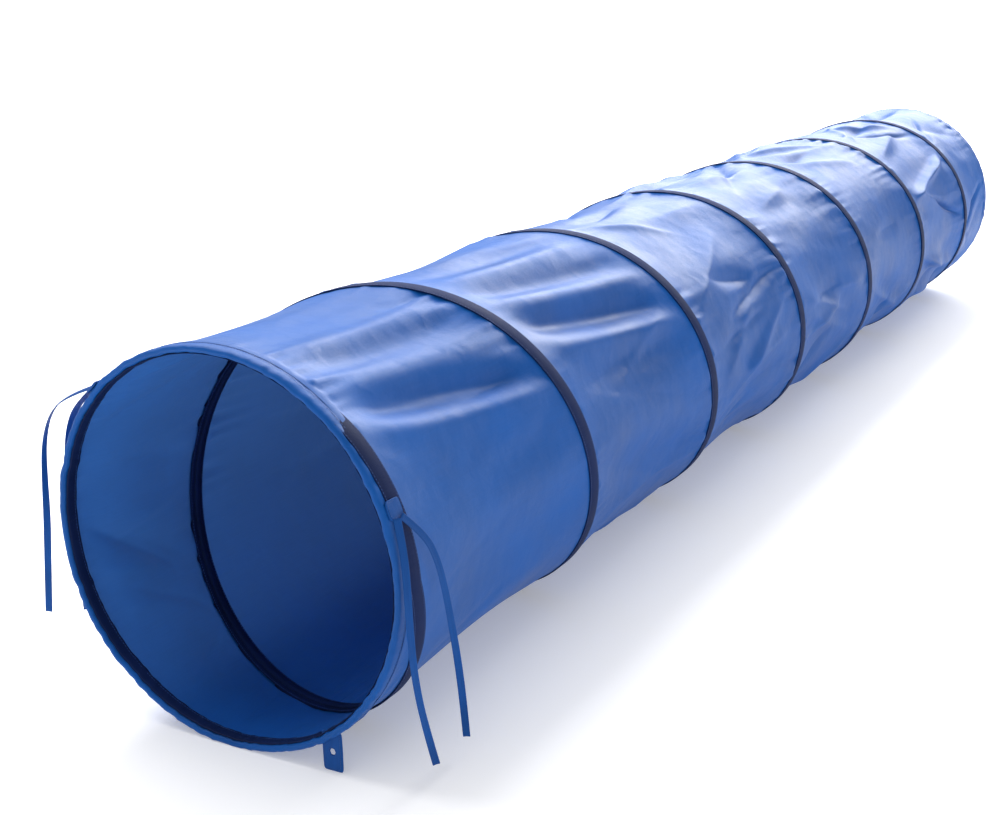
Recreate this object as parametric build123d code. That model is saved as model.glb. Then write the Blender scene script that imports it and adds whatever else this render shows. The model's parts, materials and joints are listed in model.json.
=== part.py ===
"""Agility tunnel: a tube of light cloth held open by one long spring wire.

The wire makes a flat ring in the hem of each mouth and runs as a helix between them, inside a
casing sewn to the inside of the cloth. Each turn of the wire, with its cloth and its casing, is a
body of its own, so that the tunnel can be pushed together along its length.

Millimetres, +Z up. X runs along the tunnel from the mouth (-X) to the far end (+X). The origin is
on the ground, under the middle of the tunnel.
"""

import math
import os

from build123d import *

# --- driving sizes -------------------------------------------------------------------------------
TUNNEL_LENGTH = 3000.0
TUNNEL_RADIUS = 250.0  # outside of the cloth
FABRIC_WALL = 2.4  # cloth, its folds and its air, as one plain wall
GROUND_FLAT = 1.6  # how deep the cloth is pressed flat where it rests on the ground
HELIX_TURNS = 6.5  # turns of the wire between the two flat end rings

WIRE_RADIUS = 1.6
WIRE_CLEARANCE = 0.3  # between the wire and whatever wraps it
CASING_WALL = 0.6
CASING_WIDTH = 26
SEWN_GAP = 0.3  # between two layers that are sewn together
END_GAP = 0.3  # between two lengths that meet end to end

HEM_LENGTH = 18.0
HEM_WALL = 1.2
RING_CLEARANCE = 0.4  # between the end ring and the fold of the hem
RING_ARC = 330.0  # degrees of the flat end ring, before it runs out into the helix
LEAD_OUT_ARC = 90.0  # degrees in which the wire leaves the hem
START_ANGLE = 180.0  # where the helix starts, round the mouth from +Y towards the top
CAP_WALL = 0.6
CAP_CLEARANCE = 0.15  # between the wire and its cap
CAP_LENGTH = 14.0
CAP_OVERHANG = 2.0  # how far the cap goes past the wire's cut end

PATCH_LENGTH = 26.0  # along the rim
PATCH_WIDTH = 23.0  # along the tunnel
PATCH_THICKNESS = 3.0
PATCH_FROM_EDGE = 0.5
LEFT_PATCH_ANGLE = 46.0  # degrees round the mouth, from +Y towards the top
RIGHT_PATCH_ANGLE = 159.0
RIGHT_PATCH_SHIFT = 7.0  # the right patch sits this much further from the edge

TAPE_WIDTH = 9.0

TAB_WIDTH = 28.0
TAB_TOP = 62.0  # height at which the tab is trimmed to the hem, above the ground
TAB_THICKNESS = 1.2  # one layer of webbing
TAB_EYE_RADIUS = 4.0
TAB_EYE_HEIGHT = 26.0  # where the two layers come together
TAB_ACROSS = -143.0  # middle of the tab, across the tunnel
GROUND_CLEARANCE = 0.3

# --- sizes that follow from them -----------------------------------------------------------------
AXIS_HEIGHT = TUNNEL_RADIUS - GROUND_FLAT
MOUTH_X = -TUNNEL_LENGTH / 2
FABRIC_INNER = TUNNEL_RADIUS - FABRIC_WALL
CASING_THICKNESS = 2 * (WIRE_RADIUS + WIRE_CLEARANCE + CASING_WALL)
HELIX_RADIUS = FABRIC_INNER - SEWN_GAP - CASING_THICKNESS / 2
CAP_RADIUS = WIRE_RADIUS + CAP_CLEARANCE + CAP_WALL
HEM_INNER_LEG = HELIX_RADIUS - CAP_RADIUS - RING_CLEARANCE  # outside of the hem's inner leg
RING_X = HEM_WALL + RING_CLEARANCE + CAP_RADIUS  # from the edge of the mouth
FREE_END_ANGLE = START_ANGLE - LEAD_OUT_ARC - RING_ARC
HELIX_START = HEM_LENGTH + CASING_WIDTH / 2 + END_GAP
HELIX_PITCH = (TUNNEL_LENGTH - 2 * HELIX_START) / HELIX_TURNS
WHOLE_TURNS = math.floor(HELIX_TURNS)
TAB_X = HEM_LENGTH / 2
HALF_GAP_TURN = END_GAP / 2 / (2 * math.pi * HELIX_RADIUS)  # half an end gap, in turns of the helix


def turn_starts():
    """Where each length of the helix starts, in turns, and where the last one ends."""
    return [float(n) for n in range(WHOLE_TURNS + 1)] + [HELIX_TURNS]


def panel_edges():
    """Where the cloth is divided, from the edge of the mouth."""
    inner = [HELIX_START + HELIX_PITCH * turn for turn in turn_starts()[1:-1]]
    return [HEM_LENGTH] + inner + [TUNNEL_LENGTH - HEM_LENGTH]


def across(x):
    """The plane across the tunnel, x from the edge of the mouth: local x is +Y and local y is +Z."""
    return Plane(origin=(MOUTH_X + x, 0, AXIS_HEIGHT), x_dir=(0, 1, 0), z_dir=(1, 0, 0))


def placed(shape, x, angle=0.0):
    """A shape made about local Z, turned round the tunnel's axis and put at x."""
    return across(x).location * Rot(0, 0, angle) * shape


def far_copy(shape):
    """The same piece at the far end: the tunnel looks the same from both ends."""
    return Rot(0, 0, 180) * shape


def above_ground(shape):
    """What is left of a shape above the ground."""
    side = 4 * TUNNEL_RADIUS
    ground = Pos(0, 0, -side / 2) * Box(2 * TUNNEL_LENGTH, side, side)
    return shape - ground


# --- cloth ---------------------------------------------------------------------------------------
def fabric_panel(start, end):
    """A length of the cloth tube, open at both ends, with a flat where it rests on the ground."""
    ring = Circle(TUNNEL_RADIUS) - Circle(FABRIC_INNER)
    tube = extrude(ring, amount=end - start - END_GAP)
    return above_ground(placed(tube, start + END_GAP / 2))


def hem():
    """The mouth's edge: cloth folded round the end ring, open towards the inside of the tunnel."""
    outer_leg = (HEM_LENGTH / 2, (TUNNEL_RADIUS + FABRIC_INNER) / 2)
    inner_leg = (HEM_LENGTH / 2, HEM_INNER_LEG - HEM_WALL / 2)
    fold_height = TUNNEL_RADIUS - HEM_INNER_LEG + HEM_WALL
    fold = (HEM_WALL / 2, TUNNEL_RADIUS - fold_height / 2)
    section = (
        Pos(*outer_leg) * Rectangle(HEM_LENGTH, FABRIC_WALL)
        + Pos(*inner_leg) * Rectangle(HEM_LENGTH, HEM_WALL)
        + Pos(*fold) * Rectangle(HEM_WALL, fold_height)
    )
    ring = revolve(section, axis=Axis.X)
    return above_ground(Pos(MOUTH_X, 0, AXIS_HEIGHT) * ring)


# --- spring wire and casing ----------------------------------------------------------------------
def helical(section, turns, pitch):
    """A section swept along part of a right-hand helix about local Z; local x is outwards."""
    path = Helix(pitch=pitch, height=pitch * turns, radius=HELIX_RADIUS)
    start = Plane(origin=path @ 0, x_dir=(1, 0, 0), z_dir=path % 0)
    return sweep(start * section, path=path, is_frenet=True)


def helix_length(section, start, end):
    """A length of the main helix, from one turn to another, short of both by half a gap."""
    first = start + HALF_GAP_TURN
    last = end - HALF_GAP_TURN
    solid = helical(section, last - first, HELIX_PITCH)
    return placed(solid, HELIX_START + HELIX_PITCH * first, START_ANGLE + 360 * first)


def wire_section():
    """The round section of the wire, in four arcs, so that its swept length has four side faces."""
    quarters = [CenterArc((0, 0), WIRE_RADIUS, 90 * quarter, 90) for quarter in range(4)]
    return make_face(quarters)


def wire_turn(start, end):
    return helix_length(wire_section(), start, end)


def wire_casing(start, end):
    """The tape tube that holds the wire against the cloth."""
    bore = WIRE_RADIUS + WIRE_CLEARANCE
    section = Rectangle(CASING_THICKNESS, CASING_WIDTH) - Circle(bore)
    return helix_length(section, start, end)


def rim_arc(radius, start, arc):
    """A round bar bent along the end ring, from one angle round the mouth through an arc."""
    profile = Plane.XZ * Pos(HELIX_RADIUS, 0) * Circle(radius)
    return placed(revolve(profile, axis=Axis.Z, revolution_arc=arc), RING_X, start)


def ring_wire():
    """The flat end ring, in the fold of the hem."""
    return rim_arc(WIRE_RADIUS, FREE_END_ANGLE, RING_ARC)


def lead_out_wire():
    """The stretch of wire that leaves the hem and starts the helix."""
    gap_turns = 4 * HALF_GAP_TURN  # wider than elsewhere, because the two lengths meet at an angle
    turns = LEAD_OUT_ARC / 360
    rise = (HELIX_START - RING_X) / turns
    solid = helical(wire_section(), turns - 2 * gap_turns, rise)
    start_angle = START_ANGLE - LEAD_OUT_ARC + 360 * gap_turns
    return placed(solid, RING_X + rise * gap_turns, start_angle)


def wire_cap():
    """The cap over the wire's cut end, which keeps it from piercing the cloth."""
    cap_arc = math.degrees(CAP_LENGTH / HELIX_RADIUS)
    overhang_arc = math.degrees(CAP_OVERHANG / HELIX_RADIUS)
    body = rim_arc(CAP_RADIUS, FREE_END_ANGLE - overhang_arc, cap_arc)
    return body - rim_arc(WIRE_RADIUS + CAP_CLEARANCE, FREE_END_ANGLE, cap_arc)


# --- ties and peg tab ----------------------------------------------------------------------------
def tie_patch(angle, from_edge):
    """The folded square of tape that a pair of ties is sewn into, on the outside of the rim."""
    patch = Box(PATCH_THICKNESS, PATCH_LENGTH, PATCH_WIDTH)
    out = TUNNEL_RADIUS + SEWN_GAP + PATCH_THICKNESS / 2
    return placed(Pos(out, 0, 0) * patch, from_edge + PATCH_WIDTH / 2, angle)


def peg_tab():
    """A loop of webbing that hangs from the hem to the ground, with an eye for a ground peg."""
    eye = GROUND_CLEARANCE + TAB_THICKNESS + TAB_EYE_RADIUS
    bottom = Pos(0, eye) * Circle(TAB_EYE_RADIUS + TAB_THICKNESS)
    two_layers = Pos(0, TAB_TOP - TAB_THICKNESS) * Rectangle(2 * TAB_THICKNESS, 2 * TAB_THICKNESS)
    outline = make_hull(bottom.edges() + two_layers.edges())
    seam = Pos(0, TAB_EYE_HEIGHT) * Circle(SEWN_GAP)
    hollow = Pos(0, eye) * Circle(TAB_EYE_RADIUS)
    inside = make_hull(hollow.edges() + seam.edges())
    loop = extrude(Plane.XZ * (outline - inside), amount=TAB_WIDTH / 2, both=True)
    loop = Pos(MOUTH_X + TAB_X, TAB_ACROSS, 0) * loop
    rim = extrude(Circle(TUNNEL_RADIUS + SEWN_GAP), amount=HEM_LENGTH, both=True)
    return loop - placed(rim, 0)


# Each tie is a flat tape that hangs from its patch. A route's points are chosen by hand: x from the
# edge of the mouth, then y and z.
TIE_ROUTES = {
    "tie_tape_left_front": [
        (6, 191, 420),
        (5, 222, 412),
        (3, 250, 388),
        (2, 265, 348),
        (1, 269, 300),
        (1, 272, 250),
        (0, 278, 190),
        (-1, 285, 120),
    ],
    "tie_tape_left_back": [
        (17, 191, 420),
        (20, 216, 402),
        (26, 240, 374),
        (30, 254, 336),
        (32, 260, 292),
        (33, 262, 243),
        (36, 262, 190),
        (39, 259, 112),
    ],
    "tie_tape_right_front": [
        (13, -246, 320),
        (7, -254, 292),
        (3, -259, 247),
        (4, -260, 195),
        (12, -259, 140),
        (29, -258, 80),
        (53, -257, 17),
    ],
    "tie_tape_right_back": [
        (26, -246, 320),
        (47, -256, 303),
        (64, -261, 267),
        (77, -262, 222),
        (90, -261, 175),
        (103, -260, 122),
        (113, -259, 70),
        (119, -259, 21),
    ],
}
ARC_SHARE = 0.45  # of the shorter of the two runs that an arc joins


def arc_radii(points):
    """As large an arc at each point as its two runs allow."""
    radii = []
    for before, here, after in zip(points, points[1:], points[2:]):
        run_in = here - before
        run_out = after - here
        half_turn = math.radians(run_in.get_angle(run_out)) / 2
        radii.append(ARC_SHARE * min(run_in.length, run_out.length) / math.tan(half_turn))
    return radii


def tie_tape(name):
    points = [Vector(MOUTH_X + x, y, z) for x, y, z in TIE_ROUTES[name]]
    radii = arc_radii(points)
    path = FilletPolyline(*points, radius=radii)
    start = Plane(origin=path @ 0, z_dir=path % 0)
    solid = sweep(start * Circle(TAPE_WIDTH / 2), path=path)
    plain = math.pi * (TAPE_WIDTH / 2) ** 2 * path.length
    print(name, "length", round(path.length, 1), "smallest arc", round(min(radii), 1))
    print("  arcs", [round(radius) for radius in radii], "volume share", solid.volume / plain)
    return solid


# --- assembly ------------------------------------------------------------------------------------
def nodes():
    """Every piece of the tunnel, by the name of its node."""
    made = {
        "mouth_hem": hem(),
        "mouth_ring_wire": ring_wire(),
        "mouth_lead_out_wire": lead_out_wire(),
        "mouth_wire_cap": wire_cap(),
        "mouth_peg_tab": peg_tab(),
    }
    for name in list(made):
        made[name.replace("mouth", "far")] = far_copy(made[name])
    edges = panel_edges()
    for number, (start, end) in enumerate(zip(edges, edges[1:]), 1):
        made[f"fabric_panel_{number}"] = fabric_panel(start, end)
    turns = turn_starts()
    for number, (start, end) in enumerate(zip(turns, turns[1:]), 1):
        made[f"wire_turn_{number}"] = wire_turn(start, end)
        made[f"wire_casing_{number}"] = wire_casing(start, end)
    made["tie_patch_left"] = tie_patch(LEFT_PATCH_ANGLE, PATCH_FROM_EDGE)
    made["tie_patch_right"] = tie_patch(RIGHT_PATCH_ANGLE, PATCH_FROM_EDGE + RIGHT_PATCH_SHIFT)
    for name in TIE_ROUTES:
        made[name] = tie_tape(name)
    return made


os.makedirs("parts", exist_ok=True)
for node, solid in nodes().items():
    export_step(solid, f"parts/{node}.step")
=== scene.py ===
"""Agility tunnel: its cloth, tapes, wire, ties and stitching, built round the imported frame."""

import json
import math

import bmesh
import bpy
import numpy as np
from bpy.props import FloatProperty, FloatVectorProperty, IntProperty, PointerProperty
from mathutils import Matrix, Vector

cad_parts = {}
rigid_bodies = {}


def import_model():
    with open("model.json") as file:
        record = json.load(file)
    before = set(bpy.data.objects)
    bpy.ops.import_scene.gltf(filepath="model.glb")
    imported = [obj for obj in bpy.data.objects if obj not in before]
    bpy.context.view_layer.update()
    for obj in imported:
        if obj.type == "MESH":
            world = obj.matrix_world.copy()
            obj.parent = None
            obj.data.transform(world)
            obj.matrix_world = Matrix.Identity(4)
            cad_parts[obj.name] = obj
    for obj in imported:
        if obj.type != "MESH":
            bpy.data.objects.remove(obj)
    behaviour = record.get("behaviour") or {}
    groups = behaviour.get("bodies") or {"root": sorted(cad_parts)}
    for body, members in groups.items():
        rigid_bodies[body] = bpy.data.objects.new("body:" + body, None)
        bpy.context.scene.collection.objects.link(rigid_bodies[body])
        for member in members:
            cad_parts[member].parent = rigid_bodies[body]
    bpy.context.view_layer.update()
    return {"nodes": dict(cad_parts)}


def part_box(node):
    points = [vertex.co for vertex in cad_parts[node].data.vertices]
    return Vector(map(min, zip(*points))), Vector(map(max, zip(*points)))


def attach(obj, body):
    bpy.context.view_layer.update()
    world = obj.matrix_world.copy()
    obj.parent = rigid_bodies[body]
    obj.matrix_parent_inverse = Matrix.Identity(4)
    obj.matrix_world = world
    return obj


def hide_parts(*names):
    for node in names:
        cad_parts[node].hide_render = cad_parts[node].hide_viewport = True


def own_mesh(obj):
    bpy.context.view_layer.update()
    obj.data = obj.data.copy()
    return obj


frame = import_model()

bl_info = {
    "name": "Agility tunnel",
    "version": (1, 0, 0),
    "blender": (4, 5, 0),
    "location": "View3D > Sidebar > Tunnel",
    "description": "Builds a cloth tunnel on a helical spring wire",
    "category": "Object",
}

# --- what the frame gives ------------------------------------------------------------------------
HEM_LOW, HEM_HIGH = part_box("mouth_hem")
MOUTH_X = HEM_LOW.x
FAR_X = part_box("far_hem")[1].x
RADIUS = (HEM_HIGH.y - HEM_LOW.y) / 2
AXIS_Z = HEM_HIGH.z - RADIUS
HEM_LENGTH = HEM_HIGH.x - HEM_LOW.x
PANELS = sorted(name for name in frame["nodes"] if name.startswith("fabric_panel_"))
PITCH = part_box("fabric_panel_3")[0].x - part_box("fabric_panel_2")[0].x
HELIX_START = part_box("fabric_panel_2")[0].x - PITCH
HELIX_END = MOUTH_X + FAR_X - HELIX_START
TURNS = (HELIX_END - HELIX_START) / PITCH
BODIES = ["mouth_end"] + [f"turn_{number}" for number in range(2, len(PANELS) + 1)]
START_ANGLE = math.pi  # the helix starts at the -Y side of the mouth


# --- sizes and colours that a user may change ----------------------------------------------------
LENGTH = {"subtype": "DISTANCE", "unit": "LENGTH"}
COLOUR = {"subtype": "COLOR", "size": 3, "min": 0, "max": 1}


class TunnelCloth(bpy.types.PropertyGroup):
    sag: FloatProperty(
        name="Sag", description="How far the cloth falls in between two turns of the wire",
        default=0.011, min=0, max=0.04, **LENGTH,
    )
    fold_depth: FloatProperty(
        name="Fold depth", description="Depth of the long folds that run from turn to turn",
        default=0.0125, min=0, max=0.03, **LENGTH,
    )
    pucker_depth: FloatProperty(
        name="Pucker depth", description="Depth of the small gathers beside the wire",
        default=0.0042, min=0, max=0.006, **LENGTH,
    )
    cell: FloatProperty(
        name="Cell", description="Size of one face of the cloth",
        default=0.0037, min=0.003, max=0.02, **LENGTH,
    )
    seed: IntProperty(name="Seed", description="Which set of folds the cloth takes", default=7)
    blue: FloatVectorProperty(
        name="Cloth colour", description="Colour of the dyed cloth",
        default=(0.002, 0.088, 0.37), **COLOUR,
    )


class TunnelTapes(bpy.types.PropertyGroup):
    # The binding is laid wider than the real tape, so that its dark navy also paints the shade of the
    # groove beside the wire and, inside, the shade where the casing blocks the light through the
    # cloth.
    casing_width: FloatProperty(
        name="Casing width", description="Width of the binding tape round the wire",
        default=0.025, **LENGTH,
    )
    wire_radius: FloatProperty(
        name="Wire radius", description="Radius of the spring wire",
        default=0.0016, **LENGTH,
    )
    tie_width: FloatProperty(
        name="Tie width", description="Width of the flat tie tapes",
        default=0.009, **LENGTH,
    )
    tie_thickness: FloatProperty(
        name="Tie thickness", description="Thickness of the flat tie tapes",
        default=0.0011, **LENGTH,
    )
    stitch_length: FloatProperty(
        name="Stitch length", description="Length of one stitch",
        default=0.0032, **LENGTH,
    )
    navy: FloatVectorProperty(
        name="Tape colour", description="Colour of the binding tape",
        default=(0.006, 0.016, 0.07), **COLOUR,
    )
    tape_blue: FloatVectorProperty(
        name="Tie colour", description="Colour of the tie tapes and the peg tabs",
        default=(0.010, 0.075, 0.30), **COLOUR,
    )
    thread: FloatVectorProperty(
        name="Thread colour", description="Colour of the sewing thread",
        default=(0.02, 0.07, 0.26), **COLOUR,
    )


class TunnelStage(bpy.types.PropertyGroup):
    key_power: FloatProperty(
        name="Key light", description="Power of the overhead light", default=215.0,
    )
    back_power: FloatProperty(
        name="Back light", description="Power of the low light behind", default=1500.0,
    )
    sky: FloatProperty(
        name="Sky", description="Strength of the even light from all round", default=0.62,
    )


def cloth_values():
    return bpy.context.scene.tunnel_cloth


def tape_values():
    return bpy.context.scene.tunnel_tapes


# --- shared shapes -------------------------------------------------------------------------------
def ring_point(x, angle, radius):
    """The point of the tunnel at x, at an angle from +Y towards the top; all may be arrays."""
    y = radius * np.cos(angle)
    z = AXIS_Z + radius * np.sin(angle)
    return np.stack(np.broadcast_arrays(x, y, z), axis=-1)


def grid_mesh(name, points, uv, close_rows=False, close_columns=False):
    """A mesh of quads over a grid of points, with a UV map in metres named Cloth."""
    rows, columns = points.shape[:2]
    index = np.arange(rows * columns).reshape(rows, columns)
    if close_rows:
        index = np.vstack([index, index[:1]])
    if close_columns:
        index = np.hstack([index, index[:, :1]])
    corners = [index[:-1, :-1], index[1:, :-1], index[1:, 1:], index[:-1, 1:]]
    faces = np.stack(corners, axis=-1).reshape(-1, 4)
    mesh = bpy.data.meshes.new(name)
    mesh.from_pydata(points.reshape(-1, 3).tolist(), [], faces.tolist())
    layer = mesh.uv_layers.new(name="Cloth")
    loops = np.array([loop.vertex_index for loop in mesh.loops])
    layer.data.foreach_set("uv", uv.reshape(-1, 2)[loops].astype(np.float32).ravel())
    mesh.shade_smooth()
    mesh.update()
    return mesh


def mend(mesh, merge=0.0, fill_ends=False):
    """Closes a mesh by merging near points or filling its ends, and turns all faces outwards."""
    shape = bmesh.new()
    shape.from_mesh(mesh)
    if merge:
        bmesh.ops.remove_doubles(shape, verts=shape.verts, dist=merge)
    if fill_ends:
        ends = [edge for edge in shape.edges if edge.is_boundary]
        bmesh.ops.holes_fill(shape, edges=ends, sides=0)
    bmesh.ops.recalc_face_normals(shape, faces=shape.faces)
    shape.to_mesh(mesh)
    shape.free()


def apply_modifiers(obj):
    """The object's evaluated shape becomes its own mesh, with no modifier left."""
    graph = bpy.context.evaluated_depsgraph_get()
    made = bpy.data.meshes.new_from_object(obj.evaluated_get(graph))
    obj.modifiers.clear()
    old = obj.data
    obj.data = made
    made.name = obj.name
    if old.users == 0 and isinstance(old, bpy.types.Mesh):
        bpy.data.meshes.remove(old)


def add_object(name, data):
    thing = bpy.data.objects.new(name, data)
    bpy.context.scene.collection.objects.link(thing)
    return thing


def add_piece(name, mesh, material):
    mesh.materials.append(material)
    return add_object(name, mesh)


def close_with_turn(piece, number):
    """The piece rides on the body of its turn, and moves with it as the tunnel shortens."""
    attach(piece, BODIES[number])
    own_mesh(piece)


def smooth_step(value):
    value = np.clip(value, 0, 1)
    return value * value * (3 - 2 * value)


def lattice_noise(along, across, rng):
    """Smooth noise from about -1 to 1, one cell for each unit of along and across."""
    width = int(np.ceil(along.max())) + 3
    height = int(np.ceil(across.max())) + 3
    values = rng.uniform(-1, 1, (width, height))
    column = np.floor(along).astype(int)
    row = np.floor(across).astype(int)
    a = smooth_step(along - column)
    b = smooth_step(across - row)
    low = values[column, row] * (1 - a) + values[column + 1, row] * a
    high = values[column, row + 1] * (1 - a) + values[column + 1, row + 1] * a
    return low * (1 - b) + high * b


# --- node trees ----------------------------------------------------------------------------------
def new_tree(name, kind, inputs, outputs):
    """A node tree with named inputs and outputs; each is a name, a socket type and a default."""
    tree = bpy.data.node_groups.new(name, kind)
    for in_out, sockets in (("INPUT", inputs), ("OUTPUT", outputs)):
        for socket_name, socket_type, default in sockets:
            socket = tree.interface.new_socket(socket_name, in_out=in_out, socket_type=socket_type)
            if default is not None:
                socket.default_value = default
    return tree


def tree_named(name, maker):
    return bpy.data.node_groups.get(name) or maker()


def set_inputs(tree, node, **inputs):
    """Sets inputs by name, or as i0, i1 by number; each is an output socket to link, or a value."""
    for key, value in inputs.items():
        numbered = key[0] == "i" and key[1:].isdigit()
        socket = node.inputs[int(key[1:]) if numbered else key.replace("_", " ")]
        if isinstance(value, bpy.types.NodeSocket):
            tree.links.new(value, socket)
        else:
            socket.default_value = value


def add_node(tree, kind, settings=None, **inputs):
    """A node with its settings and inputs."""
    node = tree.nodes.new(kind)
    for key, value in (settings or {}).items():
        setattr(node, key, value)
    set_inputs(tree, node, **inputs)
    return node


def do_math(tree, operation, a, b=0.0):
    return add_node(tree, "ShaderNodeMath", {"operation": operation}, i0=a, i1=b).outputs[0]


def do_vector(tree, operation, a, b=(0.0, 0.0, 0.0)):
    node = add_node(tree, "ShaderNodeVectorMath", {"operation": operation}, i0=a, i1=b)
    return node.outputs[0]


def do_scale(tree, vector, factor):
    node = add_node(
        tree, "ShaderNodeVectorMath", {"operation": "SCALE"}, i0=vector, Scale=factor,
    )
    return node.outputs[0]


GEOMETRY = ("Geometry", "NodeSocketGeometry", None)
MATERIAL = ("Material", "NodeSocketMaterial", None)


def start_path_tree(name, *sockets):
    """A tree with its inputs, the path as a curve, and the way out from the tunnel's axis."""
    tree = new_tree(name, "GeometryNodeTree", (GEOMETRY, *sockets, MATERIAL), (GEOMETRY,))
    given = add_node(tree, "NodeGroupInput").outputs
    position = add_node(tree, "GeometryNodeInputPosition").outputs[0]
    flat = do_vector(tree, "MULTIPLY", position, (0.0, 1.0, 1.0))
    from_axis = do_vector(tree, "SUBTRACT", flat, (0.0, 0.0, AXIS_Z))
    outward = do_vector(tree, "NORMALIZE", from_axis)
    curve = add_node(tree, "GeometryNodeMeshToCurve", Mesh=given["Geometry"])
    turned = add_node(
        tree, "GeometryNodeSetCurveNormal", {"mode": "FREE"},
        Curve=curve.outputs[0], Normal=outward,
    )
    return tree, given, turned.outputs[0], outward


def end_tree(tree, geometry, given):
    """Ends a tree with real meshes in the material."""
    real = add_node(tree, "GeometryNodeRealizeInstances", Geometry=geometry).outputs[0]
    smooth = add_node(tree, "GeometryNodeSetShadeSmooth", Geometry=real).outputs[0]
    coated = add_node(
        tree, "GeometryNodeSetMaterial", Geometry=smooth, Material=given["Material"],
    )
    add_node(tree, "NodeGroupOutput", Geometry=coated.outputs[0])
    return tree


def end_sweep(tree, path, section, given):
    """Ends a tree with a section swept along the path."""
    swept = add_node(
        tree, "GeometryNodeCurveToMesh",
        Curve=path, Profile_Curve=section.outputs[0], Fill_Caps=True,
    )
    return end_tree(tree, swept.outputs[0], given)


def tape_tree():
    """A flat tape with round edges, laid along a path on the tunnel."""
    tree, given, path, _ = start_path_tree(
        "Tape along path",
        ("Width", "NodeSocketFloat", 0.014),
        ("Thickness", "NodeSocketFloat", 0.001),
        ("Edge radius", "NodeSocketFloat", 0.0005),
    )
    section = add_node(
        tree, "GeometryNodeCurvePrimitiveQuadrilateral",
        Width=given["Thickness"], Height=given["Width"],
    )
    rounded = add_node(
        tree, "GeometryNodeFilletCurve", {"mode": "POLY"},
        Curve=section.outputs[0], Radius=given["Edge radius"], Count=2,
    )
    return end_sweep(tree, path, rounded, given)


def wire_tree():
    """A round wire along a path."""
    tree, given, path, _ = start_path_tree(
        "Wire along path",
        ("Radius", "NodeSocketFloat", 0.0016),
        ("Sides", "NodeSocketInt", 10),
    )
    section = add_node(
        tree, "GeometryNodeCurvePrimitiveCircle",
        Resolution=given["Sides"], Radius=given["Radius"],
    )
    return end_sweep(tree, path, section, given)


def stitch_tree():
    """A row of stitches along a path; each is sunk in the cloth at its ends."""
    tree, given, path, outward = start_path_tree(
        "Stitches along path",
        ("Spacing", "NodeSocketFloat", 0.004),
        ("Length", "NodeSocketFloat", 0.0032),
        ("Thread", "NodeSocketFloat", 0.0007),
        ("Seed", "NodeSocketInt", 3),
    )
    points = add_node(
        tree, "GeometryNodeCurveToPoints", {"mode": "LENGTH"}, Curve=path, Length=given["Spacing"],
    )
    rotation = add_node(
        tree, "FunctionNodeAxesToRotation", {"primary_axis": "X", "secondary_axis": "Z"},
        Primary_Axis=points.outputs["Tangent"], Secondary_Axis=outward,
    )
    ball = add_node(tree, "GeometryNodeMeshUVSphere", Segments=6, Rings=4, Radius=0.5)
    height = do_math(tree, "MULTIPLY", given["Thread"], 0.8)
    size = add_node(
        tree, "ShaderNodeCombineXYZ", X=given["Length"], Y=given["Thread"], Z=height,
    )
    stitch = add_node(
        tree, "GeometryNodeTransform", Geometry=ball.outputs[0], Scale=size.outputs[0],
    )
    vary = add_node(
        tree, "FunctionNodeRandomValue", {"data_type": "FLOAT"},
        i2=0.85, i3=1.1, Seed=given["Seed"],
    )
    rows = add_node(
        tree, "GeometryNodeInstanceOnPoints",
        Points=points.outputs[0], Instance=stitch.outputs[0],
        Rotation=rotation.outputs[0], Scale=vary.outputs[1],
    )
    return end_tree(tree, rows.outputs[0], given)


def along_paths(name, paths, tree, material, **values):
    """A mesh that a node tree makes along paths, each given as an array of points."""
    points = np.concatenate(paths)
    edges = []
    first = 0
    for path in paths:
        edges += [(first + n, first + n + 1) for n in range(len(path) - 1)]
        first += len(path)
    mesh = bpy.data.meshes.new(name)
    mesh.from_pydata(points.tolist(), edges, [])
    piece = add_object(name, mesh)
    nodes = piece.modifiers.new("Along path", "NODES")
    nodes.node_group = tree
    wanted = {**values, "Material": material}
    for item in tree.interface.items_tree:
        key = item.name.replace(" ", "_")
        if item.item_type == "SOCKET" and item.in_out == "INPUT" and key in wanted:
            nodes[item.identifier] = wanted[key]
    apply_modifiers(piece)
    return piece


# --- materials -----------------------------------------------------------------------------------
def weave_group():
    """Crossing threads: their height, and a slight change of tone from thread to thread."""
    tree = new_tree(
        "Weave", "ShaderNodeTree",
        (
            ("Vector", "NodeSocketVector", None),
            ("Threads per metre", "NodeSocketFloat", 2200.0),
            ("Unevenness", "NodeSocketFloat", 0.3),
        ),
        (("Height", "NodeSocketFloat", None), ("Tone", "NodeSocketFloat", None)),
    )
    given = add_node(tree, "NodeGroupInput").outputs
    scaled = do_scale(tree, given["Vector"], given["Threads per metre"])
    parts = add_node(tree, "ShaderNodeSeparateXYZ", Vector=scaled)
    warp, weft = (
        do_math(tree, "SINE", do_math(tree, "MULTIPLY", parts.outputs[axis], math.pi))
        for axis in "XY"
    )
    crossing = do_math(tree, "MULTIPLY", warp, weft)
    threads = do_math(tree, "ABSOLUTE", crossing)
    over = do_math(tree, "MULTIPLY", crossing, 0.5)
    streak = add_noise(
        tree, do_vector(tree, "MULTIPLY", scaled, (0.4, 0.012, 1.0)), 1.0, 2.0,
        {"noise_dimensions": "2D"},
    )
    uneven = do_math(tree, "SUBTRACT", streak, 0.5)
    add_node(
        tree, "NodeGroupOutput", Height=do_math(tree, "ADD", threads, over),
        Tone=do_math(tree, "MULTIPLY", uneven, given["Unevenness"]),
    )
    return tree


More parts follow.
